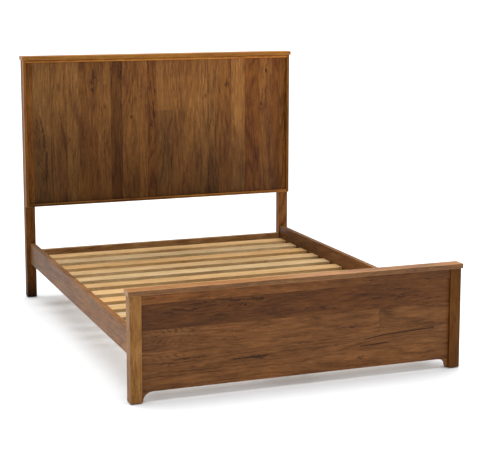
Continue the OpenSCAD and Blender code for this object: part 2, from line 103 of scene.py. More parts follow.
def hump(along, across, long, wide):
    """One at the middle of a mark, and fading out along the grain and across it."""
    return np.exp(-(along / long) ** 2 - (across / wide) ** 2)


def timber(name, boards, finish):
    """One object of separate boards. Each keeps its own run of grain, tone and marks on its points."""
    points, faces, soft = [], [], []
    fields = {"grain": [], "look": [], "marks": [], "peaks": [], "cracks": []}
    knot_long, sweep_long, sweep_wide, sweep = 1.5, 4.5, 2.6, 0.8
    stem_steps, stem_spans, edge_depth = (0.618, 0.414, 0.732), (4, 3, 3), 0.0005
    for board in boards:
        board = {**PLAIN_BOARD, **board}
        low, high, run, seed = board["low"], board["high"], board["run"], board["seed"]
        face = board.get("face", GRAIN_Z if run == GRAIN_X else GRAIN_X)
        deep = 3 - run - face
        spots, quads, arris = sawn_board(low, high, run, board["ease"], board["along"], board["across"])
        streak, pale, knot, bend = (np.zeros(len(spots)) for _ in range(4))
        for x, z, long, wide, strength in marks_on(board["streaks"], low, high):
            reach = hump(*from_mark(spots, x, z, run, face), long, wide)
            streak += max(strength, 0) * reach
            pale += max(-strength, 0) * reach
        # the grain sweeps round a knot
        for x, z, size in marks_on(board["knots"], low, high):
            along, across = from_mark(spots, x, z, run, face)
            knot += hump(along, across, knot_long * size, size)
            bend -= sweep * across * hump(along, across, sweep_long * size, sweep_wide * size)
        peaks = np.zeros((len(spots), 3))
        for x, z, long, wide, pitch in marks_on(board["peaks"], low, high):
            along, across = from_mark(spots, x, z, run, face)
            peaks[:, 0] = 2 * math.pi * (along + np.abs(across)) / pitch
            peaks[:, 1] = hump(along, across, long, wide)
        cracks = np.tile((FAR_FROM_CRACK, 0.0, 0.0), (len(spots), 1))
        for start_x, start_z, end_x, end_z in marks_on(board["cracks"], low, high):
            off = spots[:, 2] - np.interp(spots[:, 0], (start_x, end_x), (start_z, end_z))
            held = (spots[:, 0] > start_x) & (spots[:, 0] < end_x) & (np.abs(off) < CRACK_BAND)
            cracks[held, 0], cracks[held, 1] = off[held], 1.0
        grain = np.stack([spots[:, run], spots[:, face] + bend, spots[:, deep]], -1)
        grain += np.array([seed * step % 1 * span for step, span in zip(stem_steps, stem_spans)])
        # the colour is darkened or lightened from end to end and on the faces at a narrow edge; at the feet
        # of the headboard posts, towards the foot of the field and on the cap edges this is painted shade, on
        # the field together with the boards' own tone
        share = (spots[:, run] - low[run]) / (high[run] - low[run])
        level = 1 + board["fade"][0] * (1 - share) ** board["fall"] + board["fade"][1] * share
        depth = np.minimum(spots[:, deep] - low[deep], high[deep] - spots[:, deep])
        edge = 1 + board["edge"] * (depth < edge_depth)
        tone = (1 + board["tone"]) * level * edge - 1 + pale
        figure = np.full(len(spots), 0.25 + 0.75 * (seed * 0.37 % 1))
        faces.append(quads + sum(len(earlier) for earlier in points))
        points.append(spots)
        soft.append(arris[quads].any(1))
        fields["grain"].append(grain)
        fields["look"].append(np.stack([tone, np.full(len(spots), board["warm"]), arris.astype(float)], -1))
        fields["marks"].append(np.stack([streak, knot, figure], -1))
        fields["peaks"].append(peaks)
        fields["cracks"].append(cracks)
    fields = {field: np.concatenate(values) for field, values in fields.items()}
    points, faces, soft = np.concatenate(points), np.concatenate(faces).tolist(), np.concatenate(soft)
    return solid(name, points, faces, soft, fields, finish)


def solid(name, points, faces, soft, fields, finish):
    """A mesh object at the origin, with its place in its points."""
    mesh = bpy.data.meshes.new(name)
    mesh.from_pydata(points.tolist(), [], faces)
    mesh.polygons.foreach_set("use_smooth", np.asarray(soft, bool))
    for field, values in fields.items():
        layer = mesh.attributes.new(field, "FLOAT_VECTOR", "POINT")
        layer.data.foreach_set("vector", values.astype(np.float32).ravel())
    mesh.materials.append(finish)
    piece = bpy.data.objects.new(name, mesh)
    bpy.context.scene.collection.objects.link(piece)
    return piece


def fit(piece, nodes):
    """Fixes a finished piece to the bed in the place of its plain parts."""
    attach(piece, "root")
    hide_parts(*nodes)


class Finish:
    """A material under construction: each call adds one node or two and gives back an output."""

    def __init__(self, name):
        self.material = bpy.data.materials.new(name)
        self.material.use_nodes = True
        self.tree = self.material.node_tree
        self.shader = self.tree.nodes["Principled BSDF"]

    def add(self, kind, inputs, output=0, **settings):
        node = self.tree.nodes.new("ShaderNode" + kind)
        for key, value in settings.items():
            setattr(node, key, value)
        for key, value in inputs.items():
            if isinstance(value, bpy.types.NodeSocket):
                self.tree.links.new(value, node.inputs[key])
            else:
                node.inputs[key].default_value = value
        return node.outputs[output]

    def give(self, socket, value):
        self.tree.links.new(value, self.shader.inputs[socket])

    def calc(self, operation, *values):
        return self.add("Math", dict(enumerate(values)), operation=operation)

    def times(self, first, second, extra=0.0):
        return self.calc("MULTIPLY_ADD", first, second, extra)

    def moved(self, base, pattern, weight):
        """A value moved up and down by a pattern whose middle is a half."""
        return self.times(self.calc("SUBTRACT", pattern, 0.5), weight, base)

    def field(self, name):
        return self.add("Attribute", {}, "Vector", attribute_name=name)

    def total(self, first, second):
        return self.add("VectorMath", {0: first, 1: second}, operation="ADD")

    def parts(self, vector):
        return [self.add("SeparateXYZ", {0: vector}, axis) for axis in range(3)]

    def pushed(self, places, pattern, reach):
        """The same places, pushed about by a colour pattern."""
        push = self.add("VectorMath", {0: pattern, 1: (0.5, 0.5, 0.5)}, operation="SUBTRACT")
        return self.add("VectorMath", {0: push, 1: reach, 2: places}, operation="MULTIPLY_ADD")

    def noise(self, vector, stretch, detail=2.0, rough=0.5, output="Fac"):
        spread = self.add("VectorMath", {0: vector, 1: stretch}, operation="MULTIPLY")
        values = {"Vector": spread, "Scale": 1.0, "Detail": detail, "Roughness": rough}
        return self.add("TexNoise", values, output)

    def step(self, value, low, high):
        return self.add("MapRange", {"Value": value, "From Min": low, "From Max": high},
                        interpolation_type="SMOOTHSTEP")

    def blend(self, factor, first, second, mode="MIX"):
        return self.add("Mix", {0: factor, 6: first, 7: second}, 2, data_type="RGBA", blend_type=mode)

    def ramp(self, factor, stops):
        node = self.tree.nodes.new("ShaderNodeValToRGB")
        self.tree.links.new(factor, node.inputs[0])
        while len(node.color_ramp.elements) < len(stops):
            node.color_ramp.elements.new(0.5)
        for element, (position, shade) in zip(node.color_ramp.elements, stops):
            element.position = position
            element.color = linear(shade)
        return node.outputs[0]

    def relief(self, height, strength, distance):
        self.give("Normal", self.add("Bump", {"Height": height, "Strength": strength, "Distance": distance}))


def stained_wood(name, shades, mineral, satin=0.44, figure=1.0, sheen=0.14, wear_and_highlight=0.30):
    """Stained hardwood: growth rings cut flat, fibre, mineral streaks, knots, pores and a satin lacquer."""
    wood = Finish(name)
    grain = wood.total(wood.field("grain"), wood.field("shift"))
    tone, warm, arris = wood.parts(wood.total(wood.field("look"), wood.field("batch")))
    streak, knot, curl = wood.parts(wood.field("marks"))
    # the stem's own bends carry every finer pattern sideways with them
    line = wood.pushed(grain, wood.noise(grain, (1.3, 5, 5), 3, 0.55, "Color"), (0.0, 0.06, 0.04))
    line = wood.pushed(line, wood.noise(grain, (17, 34, 34), 3, 0.55, "Color"), (0.0, 0.016, 0.010))
    stem = wood.noise(line, (0.9, 8, 5), 1.0, 0.4)
    stem_rings, knot_rings = 80.0, 6.0
    rings = wood.calc("SINE", wood.times(knot, knot_rings, wood.calc("MULTIPLY", stem, stem_rings)))
    rings = wood.calc("POWER", wood.times(rings, 0.5, 0.5), 3.0)
    rings = wood.calc("MULTIPLY", wood.calc("SUBTRACT", 0.3, rings), curl)
    # from the broad bands down to the single fibres
    coarse = wood.noise(line, (2.2, 30, 30), 5, 0.55)
    thread = wood.noise(line, (13.0, 130, 130), 5, 0.70)
    fibre = wood.noise(line, (12.0, 460, 460), 2, 0.6)
    cloud = wood.noise(grain, (3.5, 10, 10), 4, 0.6)
    body = wood.times(rings, 0.13 * figure, 0.51)
    for pattern, weight in ((coarse, 0.20 * figure), (thread, 0.62), (fibre, 0.28), (cloud, 0.50)):
        body = wood.moved(body, pattern, weight)
    colour = wood.ramp(body, list(zip((0.24, 0.42, 0.58, 0.78), shades)))
    # mineral streaks follow the fibre and gather where the board is marked, and a knot has a dark heart
    vein = wood.noise(line, (15.0, 80, 80), 5, 0.66)
    vein = wood.step(wood.times(streak, 0.11, wood.moved(vein, coarse, -0.25)), 0.63, 0.685)
    heart = wood.step(wood.moved(knot, coarse, 0.7), 0.45, 0.95)
    dark = wood.calc("MINIMUM", wood.times(heart, 0.75, wood.calc("MULTIPLY", vein, 0.62)), 0.9)
    # growth rings that come to a point along the board
    phase, reach, _ = wood.parts(wood.field("peaks"))
    point = wood.calc("SINE", wood.moved(wood.moved(phase, cloud, 16.0), thread, 9.0))
    point = wood.calc("MULTIPLY", wood.step(point, 0.30, 0.95), wood.step(reach, 0.15, 0.70))
    point = wood.calc("MULTIPLY", point, wood.step(coarse, 0.38, 0.56))
    # fine drying cracks, filled dark by the stain
    off, split, _ = wood.parts(wood.field("cracks"))
    off = wood.calc("ABSOLUTE", wood.moved(off, thread, 0.004))
    split = wood.calc("MULTIPLY", split, wood.calc("SUBTRACT", 1.0, wood.step(off, 0.0012, 0.0032)))
    drawn = wood.calc("MAXIMUM", wood.calc("MULTIPLY", point, 0.58), wood.calc("MULTIPLY", split, 0.95))
    colour = wood.blend(wood.calc("MAXIMUM", dark, drawn), colour, linear(mineral))
    pore = wood.step(wood.noise(line, (22, 1100, 1100), 2, 0.5), 0.60, 0.74)
    colour = wood.blend(wood.calc("MULTIPLY", pore, 0.30), colour, linear(mineral))
    # each board came from its own tree, so it takes the stain lighter, darker or redder
    level = wood.calc("ADD", tone, 1.0)
    warm_red, warm_green, warm_blue = 0.16, -0.10, -0.45
    tint = wood.add("CombineXYZ", {axis: wood.calc("MULTIPLY", level, wood.times(warm, share, 1.0))
                                   for axis, share in enumerate((warm_red, warm_green, warm_blue))})
    colour = wood.blend(1.0, colour, tint, "MULTIPLY")
    # hands and cloths wear the stain off the arrises; where this is set high, as on the headboard edging, the
    # pale arris is also a painted highlight
    rub_and_highlight = wood.calc("MULTIPLY", arris, wood.step(cloud, 0.30, 0.60))
    wood.give("Base Color", wood.blend(wood.calc("MULTIPLY", rub_and_highlight, wear_and_highlight), colour, linear(shades[-1])))
    wood.give("Roughness", wood.times(pore, 0.18, wood.moved(satin, coarse, 0.22)))
    wood.shader.inputs["Specular IOR Level"].default_value = sheen
    height = wood.times(pore, -0.8, wood.times(rings, 0.25, wood.calc("ADD", fibre, thread)))
    wood.relief(height, 0.35, 0.0004)
    return wood.material


post_stain = stained_wood("stain_posts", ("3C1F0A", "5E3A19", "7C5028", "976733"), "241003", sheen=0.03)
for side, seed, tone in (("left", 3, -0.06), ("right", 8, 0.10)):
    low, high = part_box("headboard_post_" + side)
    # the posts darken sharply towards their feet: painted shade on the lower posts
    board = dict(low=low, high=high, run=GRAIN_Z, seed=seed, tone=tone, warm=0.15, fade=(-0.88, 0.10),
                 fall=10)
    post = timber("headboard_post_" + side, [board], post_stain)
    fit(post, ["headboard_post_" + side])

# Headboard field. Random-width boards are jointed edge to edge and stand upright, so the grain runs
# up the field. The lumber is rustic grade: knots and dark mineral streaks are left in, and one
# board is pieced from two lengths with a butt joint.
board_widths = (0.100, 0.096, 0.072, 0.112, 0.078, 0.070, 0.104, 0.048, 0.056, 0.100,
                0.088, 0.050, 0.080, 0.073, 0.080, 0.086, 0.096, 0.082, 0.049)
board_tones = (-0.05, -0.20, 0.05, -0.25, 0.05, -0.50, 0.05, 0.10, -0.10, -0.05,
               0.20, 0.35, 0.30, 0.20, 0.05, 0.60, -0.25, 0.15, -0.20)
board_warmth = (-0.3, -0.1, -0.3, 0.2, -0.1, 0.5, 0.0, 0.0, 0.4, -0.2,
                -0.1, -0.1, -0.2, -0.1, 0.2, -0.2, 0.8, 0.2, 0.8)
# how much darker each board grows towards its foot: partly the board's own tone and partly painted shade over
# the lower field
board_fades_and_shade = (-0.65, -0.50, -0.55, -0.45, -0.50, -0.50, -0.60, -0.50, -0.60, -0.50,
               -0.60, -0.65, -0.70, -0.70, -0.55, -0.65, -0.35, -0.50, -0.50)
pieced_board, joint_share, glue_line, top_fade = 9, 0.63, 0.0002, 0.04
# a streak's place, its half length along the grain, its half width, and its strength
field_streaks = ((-0.41, 1.24, 0.09, 0.020, 1.3), (-0.245, 1.30, 0.10, 0.016, 1.6),
                 (-0.236, 1.12, 0.07, 0.012, 1.0), (-0.07, 1.26, 0.10, 0.010, 1.2),
                 (-0.06, 0.96, 0.12, 0.014, 1.2), (-0.70, 0.98, 0.12, 0.030, 0.9),
                 (-0.69, 0.76, 0.22, 0.034, 1.0), (-0.49, 1.19, 0.05, 0.008, 1.0),
                 (0.078, 1.22, 0.14, 0.007, 1.6), (0.194, 1.24, 0.12, 0.007, 1.0),
                 (0.30, 1.02, 0.10, 0.030, 1.1), (0.42, 1.31, 0.05, 0.016, 0.8),
                 (0.41, 1.19, 0.05, 0.016, 0.8), (0.595, 1.30, 0.08, 0.016, 1.0),
                 (0.69, 1.31, 0.06, 0.020, 0.7), (-0.30, 1.30, 0.06, 0.030, 0.9),
                 (-0.04, 1.12, 0.22, 0.012, 0.9))
# a knot's place and size
field_knots = ((-0.415, 1.235, 0.010), (-0.338, 1.250, 0.007), (-0.338, 1.095, 0.008), (-0.238, 1.150, 0.007),
               (-0.740, 1.145, 0.006), (-0.742, 0.985, 0.008), (-0.180, 1.030, 0.009), (0.284, 1.140, 0.010),
               (0.430, 1.200, 0.008), (0.672, 1.280, 0.007), (0.640, 1.080, 0.009), (0.560, 1.090, 0.008),
               (0.120, 1.050, 0.006), (0.215, 0.985, 0.008), (-0.610, 1.225, 0.006))
field_stain = stained_wood("stain_headboard_field", ("4A260D", "6E431E", "8D5D2C", "AB773B"), "2A1104")
field_low, field_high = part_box("headboard_planks")
joint_height = field_low.z + joint_share * (field_high.z - field_low.z)
field_boards, left = [], field_low.x
for number, width in enumerate(board_widths):
    last = number == len(board_widths) - 1
    right = field_high.x if last else left + width - glue_line
    lengths = [(field_low.z, field_high.z, board_tones[number], (board_fades_and_shade[number], top_fade))]
    if number == pieced_board:
        # the lower length of the pieced board darkens towards its foot in the same way, partly its own tone
        # and partly painted shade
        lengths = [(field_low.z, joint_height - glue_line, -0.14, (-0.50, -0.18)),
                   (joint_height, field_high.z, 0.20, (-0.12, top_fade))]
    for part, (bottom, top, tone, fade) in enumerate(lengths):
        corner, opposite = (left, field_low.y, bottom), (right, field_high.y, top)
        field_boards.append(dict(low=corner, high=opposite, run=GRAIN_Z, seed=11 + number * 2 + part,
                                 tone=tone, warm=board_warmth[number], fade=fade,
                                 ease=0.0006, along=0.010, across=0.006,
                                 streaks=field_streaks, knots=field_knots))
    left += width
fit(timber("headboard_boards", field_boards, field_stain), ["headboard_planks"])

# Headboard edging. Four thin strips frame the face of the field and a cap board lies over the posts.
# They are cut from lighter stock, finished a warmer golden brown, butted at the corners, glued and pinned. A
# dark band along the top of the top strip is painted shadow under the cap.
# the edging's arrises are lightened strongly: partly wear and partly a painted highlight along the lit
# arrises
edging_stain = stained_wood("stain_headboard_edging", ("7A451B", "965B20", "AC7129", "BF8438"), "3A1C08",
                            satin=0.38, figure=0.9, wear_and_highlight=0.85)
# each strip's grain and seed, then its tone, its warmth and how it fades
edging = (("top", GRAIN_X, 41, 0.10, 0.0, (-0.10, 0.45)),
          ("bottom", GRAIN_X, 43, -0.30, 0.25, (-0.78, 0.05)),
          ("left", GRAIN_Z, 45, -0.30, 0.25, (-0.48, -0.10)),
          ("right", GRAIN_Z, 47, -0.30, 0.25, (-0.50, -0.20)))
for name, run, seed, tone, warmth, fade in edging:
    low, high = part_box("headboard_strip_" + name)
    # a dark band along the top of the top strip is painted shadow under the overhanging cap
    painted_cap_shadow = ((0.0, high.z, 9.0, 0.005, 6.0),) if name == "top" else ()
    board = dict(low=low, high=high, run=run, seed=seed, tone=tone, warm=warmth, fade=fade, ease=0.0026,
                 across=0.003, streaks=painted_cap_shadow)
    strip = timber("headboard_strip_" + name, [board], edging_stain)
    fit(strip, ["headboard_strip_" + name])
low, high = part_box("headboard_cap")
# the cap's front and back edges are painted a little darker than its top: painted shade
board = dict(low=low, high=high, run=GRAIN_X, seed=49, ease=0.0022, tone=0.05, warm=-0.15, fade=(-0.20, 0.06),
             edge=-0.12)
head_cap = timber("headboard_cap", [board], edging_stain)
fit(head_cap, ["headboard_cap"])

# Headboard back rails. Three flat rails cross the back of the boards between the posts and hold
# the field flat. Nobody sees them against a wall, so they are plainer boards with the same stain.
back_stain = stained_wood("stain_back_rails", ("3C2009", "5A3617", "734A22", "8A5E2E"), "241003", satin=0.5)
post_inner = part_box("headboard_post_right")[0].x
for name, seed in (("top", 51), ("middle", 54), ("bottom", 57)):
    low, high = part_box("headboard_back_rail_" + name)
    low.x, high.x = -post_inner, post_inner
    board = dict(low=low, high=high, run=GRAIN_X, seed=seed)
    rail = timber("headboard_back_rail_" + name, [board], back_stain)
    fit(rail, ["headboard_back_rail_" + name])

# Side rails. Two long boards on edge carry the slats, and hook into the posts at both ends.
# Each is one length of the same hardwood, stained a little paler than the posts behind them.
rail_stain = stained_wood("stain_side_rails", ("4D2B12", "704826", "8A5E37", "A3764B"), "331808",
                          satin=0.45, sheen=0.07)
for side, seed in (("left", 61), ("right", 66)):
    low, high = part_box("side_rail_" + side)
    board = dict(low=low, high=high, run=GRAIN_Y, face=GRAIN_Z, seed=seed, ease=0.002, fade=(0.0, -0.42))
    rail = timber("side_rail_" + side, [board], rail_stain)
    fit(rail, ["side_rail_" + side])

# Footboard posts. Shorter posts than the head's, set at the two front corners with their upright
# grain showing on the face. The left one is lighter than the boards, and the right one is darker.
foot_post_stain = stained_wood("stain_foot_posts", ("573518", "81572C", "9A6D3C", "B0844C"), "3A1C06",
                               satin=0.42, sheen=0.07)
for side, seed, tone, warmth in (("left", 71, -0.08, 0.05), ("right", 76, -0.69, 1.25)):
    low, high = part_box("footboard_post_" + side)
    board = dict(low=low, high=high, run=GRAIN_Z, seed=seed, tone=tone, warm=warmth, ease=0.002)
    post = timber("footboard_post_" + side, [board], foot_post_stain)
    fit(post, ["footboard_post_" + side])

# Footboard boards. Four wide boards run across between the posts, darker at the top, with long
# mineral streaks, a few drying cracks and pointed rings at the left. The third row up is pieced
# from two lengths, and a narrow top rail lies over the fourth.
row_heights = (0.088, 0.092, 0.094, 0.127)
row_tones = (-0.10, -0.17, -0.20, -0.46)
row_warmth = (0.1, 0.1, 0.1, 0.6)
row_fades = ((-0.15, -0.02), (0.05, -0.10), (-0.20, 0.0), (-0.24, 0.0))
pieced_row, row_joint_share, pieced_lift = 2, 0.757, 0.04
# as on the headboard, and a streak of negative strength is a paler patch
row_streaks = ((-0.56, 0.40, 0.22, 0.018, 1.2), (-0.36, 0.42, 0.10, 0.014, 1.4),
               (-0.22, 0.42, 0.08, 0.014, 1.4), (-0.40, 0.36, 0.14, 0.012, 1.2),
               (0.02, 0.43, 0.14, 0.014, 1.0), (0.10, 0.35, 0.14, 0.014, 1.0),
               (0.36, 0.37, 0.16, 0.010, 1.1), (0.60, 0.35, 0.16, 0.010, 0.9),
               (-0.21, 0.155, 0.10, 0.008, 1.2), (0.398, 0.275, 0.006, 0.035, 2.0),
               (-0.72, 0.30, 0.05, 0.04, 0.8), (-0.50, 0.175, 0.16, 0.008, 0.9),
               (-0.32, 0.27, 0.20, 0.06, -0.16), (0.20, 0.39, 0.14, 0.05, -0.10))
row_knots = ((-0.273, 0.397, 0.009), (-0.191, 0.420, 0.008), (-0.350, 0.400, 0.007),
             (0.300, 0.090, 0.010), (0.700, 0.240, 0.006))
# where pointed rings lie, how far they reach along and across, and their spacing
row_peaks = ((-0.60, 0.283, 0.11, 0.055, 0.031), (-0.63, 0.180, 0.09, 0.030, 0.040))
# where each crack starts and ends
row_cracks = ((0.313, 0.180, 0.414, 0.193), (0.414, 0.193, 0.692, 0.205), (0.284, 0.150, 0.450, 0.156),
              (-0.34, 0.152, -0.16, 0.155))
row_stain = stained_wood("stain_footboard_boards", ("45250C", "69411E", "84552D", "9E6D3D"), "281103")
rows_low, rows_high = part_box("footboard_planks")
row_joint = rows_low.x + row_joint_share * (rows_high.x - rows_low.x)
row_boards, floor_side = [], rows_low.z
for number, height in enumerate(row_heights):
    last = number == len(row_heights) - 1
    cap_side = rows_high.z if last else floor_side + height - glue_line
    lengths = [(rows_low.x, rows_high.x)]
    if number == pieced_row:
        lengths = [(rows_low.x, row_joint - glue_line), (row_joint, rows_high.x)]
    for part, (start, end) in enumerate(lengths):
        corner, opposite = (start, rows_low.y, floor_side), (end, rows_high.y, cap_side)
        row_boards.append(dict(low=corner, high=opposite, run=GRAIN_X, seed=81 + number * 2 + part,
                               tone=row_tones[number] + pieced_lift * part,
                               warm=row_warmth[number], fade=row_fades[number], fall=3,
                               ease=0.0005, along=0.012, across=0.0035,
                               streaks=row_streaks, knots=row_knots, peaks=row_peaks, cracks=row_cracks))
    floor_side += height
fit(timber("footboard_boards", row_boards, row_stain), ["footboard_planks"])
low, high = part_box("footboard_top_rail")
board = dict(low=low, high=high, run=GRAIN_X, seed=95, warm=0.35, fade=(0.10, -0.54))
top_rail = timber("footboard_top_rail", [board], row_stain)
fit(top_rail, ["footboard_top_rail"])

# Footboard cap. A thin board is laid over the posts and the top rail, proud all round. Its top is paler than
# its sawn edges, which are painted darker as shade on the faces turned from the lamp.
cap_stain = stained_wood("stain_footboard_cap", ("5B3616", "81562D", "9B6E41", "B18557"), "331907",
                         satin=0.38, figure=0.8, sheen=0.25)
low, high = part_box("footboard_cap")
# edge darkens the sawn front and back: painted shade
board = dict(low=low, high=high, run=GRAIN_X, seed=99, warm=0.35, ease=0.0025, edge=-0.44)
foot_cap = timber("footboard_cap", [board], cap_stain)
fit(foot_cap, ["footboard_cap"])

# Footboard brackets. A small hollow-cut block fills each lower corner between the boards and a
# post. It is sawn from the same stock, its hollow is sanded, and it is glued in.
hollow, hollow_drop, hollow_steps = 0.043, 0.001, 14
arris_cut, sharp_turn, small_face = 0.0012, 0.5, 2e-5
hollow_end = math.degrees(math.asin(hollow_drop / hollow))
for side, sign, seed in (("left", -1, 105), ("right", 1, 108)):
    low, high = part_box("footboard_bracket_" + side)
    root, tip = (low.x, high.x) if sign < 0 else (high.x, low.x)
    outline = [(root, low.z), (root, high.z), (tip, high.z)]
    for step in range(hollow_steps + 1):
        turn = math.radians(90 - step * (90 - hollow_end) / hollow_steps)
        outline.append((tip + sign * hollow * math.cos(turn), low.z - hollow_drop + hollow * math.sin(turn)))
    block = bmesh.new()
    front = block.faces.new([block.verts.new((x, low.y, z)) for x, z in outline])
    swept = bmesh.ops.extrude_face_region(block, geom=[front])["geom"]
    back = [item for item in swept if isinstance(item, bmesh.types.BMVert)]
    bmesh.ops.translate(block, vec=(0, high.y - low.y, 0), verts=back)
    bmesh.ops.recalc_face_normals(block, faces=block.faces[:])
    arrises = [edge for edge in block.edges if edge.calc_face_angle(0) > sharp_turn]
    bmesh.ops.bevel(block, geom=arrises, offset=arris_cut, segments=2, affect="EDGES", clamp_overlap=True)
    bmesh.ops.triangulate(block, faces=[face for face in block.faces if len(face.verts) > 4])
    # the bevel leaves corners and faces in any order, so they are put in the same order every time
    ranked = sorted(block.verts, key=lambda vert: [round(value, 6) for value in vert.co])
    rank = {vert: place for place, vert in enumerate(ranked)}
    loops = []
    for face in block.faces:
        loop = [rank[vert] for vert in face.verts]
        first = loop.index(min(loop))
        loops.append((loop[first:] + loop[:first], face.calc_area() < small_face))
    points = np.array([vert.co[:] for vert in ranked])
    faces = [loop for loop, small in sorted(loops)]
    soft = [small for loop, small in sorted(loops)]
    block.free()
    fields = {"grain": points[:, [GRAIN_X, GRAIN_Z, GRAIN_Y]] + seed * 0.37,
              "look": np.tile((-0.05, 0.2, 0.0), (len(points), 1)),
              "marks": np.tile((0.0, 0.0, 0.6), (len(points), 1))}
    bracket = solid("footboard_bracket_" + side, points, faces, soft, fields, row_stain)
    fit(bracket, ["footboard_bracket_" + side])

# Cross rails, centre beam and legs. A rail tenoned between the posts at each end holds the hangers
# that carry the beam under the middle of the slats, and three legs stand under the beam. These
# parts are guessed, as the bedding hides them.
frame_stain = stained_wood("stain_hidden_frame", ("5B3A1C", "7B5530", "947046", "AC8A5E"), "3A2410",
                           satin=0.55, figure=0.8)
foot_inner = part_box("footboard_post_right")[0].x
for name, shoulder, seed in (("head_cross_rail", post_inner, 121), ("foot_cross_rail", foot_inner, 126)):
    low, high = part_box(name)
    low.x, high.x = -shoulder, shoulder
    board = dict(low=low, high=high, run=GRAIN_X, seed=seed, ease=0.002)
    rail = timber(name, [board], frame_stain)
    fit(rail, [name])
low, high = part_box("centre_beam")
board = dict(low=low, high=high, run=GRAIN_Y, face=GRAIN_Z, seed=131, ease=0.002)
beam = timber("centre_beam", [board], frame_stain)
fit(beam, ["centre_beam"])
for name, seed in (("centre_leg_1", 141), ("centre_leg_2", 145), ("centre_leg_3", 149)):
    low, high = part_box(name)
    board = dict(low=low, high=high, run=GRAIN_Z, seed=seed, ease=0.0018)
    leg = timber(name, [board], frame_stain)
    fit(leg, [name])


# Steel fittings. The beam drops into folded hangers, the rails hook into slotted plates, and the
# legs are bolted up. All are pressed or turned steel with a zinc coat, dulled by handling.
def zinc(name, light, dull, rough, scale):
    """Zinc-plated steel: crystals in the coat, rolling lines and a few dull patches."""
    metal = Finish(name)
    place = metal.add("TexCoord", {}, "Object")
    spangle = metal.add("TexVoronoi", {"Vector": place, "Scale": scale}, "Distance")
    patch = metal.noise(place, (60, 60, 60), 3, 0.6)
    lines = metal.noise(place, (40, 40, 2500), 3, 0.6)
    coated = metal.times(spangle, 0.35, metal.times(lines, 0.25, metal.calc("MULTIPLY", patch, 0.6)))
    metal.give("Base Color", metal.ramp(coated, ((0.30, dull), (0.72, light))))
    metal.give("Roughness", metal.times(patch, 0.25, rough))
    metal.shader.inputs["Metallic"].default_value = 1.0
    metal.relief(metal.calc("ADD", lines, spangle), 0.25, 0.00015)
    return metal.material


def coat(names, finish):
    """Gives machined parts their finish and leaves their shape as it is."""
    for name in names:
        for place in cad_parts[name].material_slots:
            place.material = finish


plate_zinc = zinc("zinc_plate", "C4C2B6", "8B8A82", 0.26, 900)
coat(["beam_hanger_head", "beam_hanger_foot", "rail_hook_plates", "post_slot_plates"], plate_zinc)
bright_zinc = zinc("bright_zinc", "D0D2D4", "94979B", 0.20, 1400)
coat(["leg_bolts", "leg_tee_nuts", "leveller_stem_1", "leveller_stem_2", "leveller_stem_3"], bright_zinc)

# Nylon feet. Round glides are nailed under the four posts, and a swivel pad snaps on each
# levelling stem. They are moulded in black nylon, with the fine texture of the mould.
nylon = Finish("black_nylon")
place = nylon.add("TexCoord", {}, "Object")
mould = nylon.noise(place, (900, 900, 900), 3, 0.6)
scuff = nylon.noise(place, (90, 90, 30), 4, 0.65)
moulded = nylon.times(scuff, 0.6, nylon.calc("MULTIPLY", mould, 0.4))
nylon.give("Base Color", nylon.ramp(moulded, ((0.35, "0C0C0D"), (0.58, "1A1A1B"), (0.78, "343434"))))
nylon.give("Roughness", nylon.times(scuff, 0.35, 0.38))
nylon.relief(mould, 0.4, 0.0001)
coat(["post_glides", "leveller_pad_1", "leveller_pad_2", "leveller_pad_3"], nylon.material)

# Cleats. A plain square strip is screwed inside each rail, and the slats lie on it. It is sawn
# from the same stock as the centre beam.
for side, seed in (("left", 151), ("right", 156)):
    low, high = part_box("slat_cleat_" + side)
    board = dict(low=low, high=high, run=GRAIN_Y, face=GRAIN_Z, seed=seed)
    cleat = timber("slat_cleat_" + side, [board], frame_stain)
    fit(cleat, ["slat_cleat_" + side])


# Slats. Planed poplar slats lie across the cleats and the beam at an even pitch. All are cut from
# one pattern, so one slat is made and the rest are set out from it, each with its own stretch of wood.
class Jig:
    """A geometry tree under construction, with named inputs for its sizes."""

    def __init__(self, name, sizes):
        self.tree = bpy.data.node_groups.new(name, "GeometryNodeTree")
        self.tree.interface.new_socket("Geometry", in_out="INPUT", socket_type="NodeSocketGeometry")
        self.tree.interface.new_socket("Geometry", in_out="OUTPUT", socket_type="NodeSocketGeometry")
        for label, kind in sizes.items():
            self.tree.interface.new_socket(label, in_out="INPUT", socket_type="NodeSocket" + kind)
        self.given = self.tree.nodes.new("NodeGroupInput").outputs
        self.made = self.tree.nodes.new("NodeGroupOutput").inputs

    def add(self, kind, inputs, output=0, **settings):
        node = self.tree.nodes.new(kind)
        for key, value in settings.items():
            setattr(node, key, value)
        for key, value in inputs.items():
            if isinstance(value, bpy.types.NodeSocket):
                self.tree.links.new(value, node.inputs[key])
            else:
                node.inputs[key].default_value = value
        return node.outputs[output]

    def finish(self, shapes, finish):
        """Ends the tree with real geometry in its material."""
        real = self.add("GeometryNodeRealizeInstances", {0: shapes})
        finished = self.add("GeometryNodeSetMaterial", {"Geometry": real, "Material": finish})
        self.tree.links.new(finished, self.made[0])

    def make(self, name, points, ways, sizes):
        """Runs the tree over some points and keeps the result as one plain mesh."""
        mesh = bpy.data.meshes.new(name)
        mesh.from_pydata(points, [], [])
        way = mesh.attributes.new("way", "FLOAT_VECTOR", "POINT")
        way.data.foreach_set("vector", np.ravel(ways).astype(np.float32))
        piece = bpy.data.objects.new(name, mesh)
        bpy.context.scene.collection.objects.link(piece)
        worker = piece.modifiers.new("jig", "NODES")
        worker.node_group = self.tree
        for item in self.tree.interface.items_tree:
            if item.in_out == "INPUT" and item.name in sizes:
                worker[item.identifier] = sizes[item.name]
        ready = bpy.context.evaluated_depsgraph_get()
        plain = bpy.data.meshes.new_from_object(piece.evaluated_get(ready), preserve_all_data_layers=True,
                                                depsgraph=ready)
        piece.modifiers.remove(worker)
        piece.data = plain
        plain.name = name
        return piece


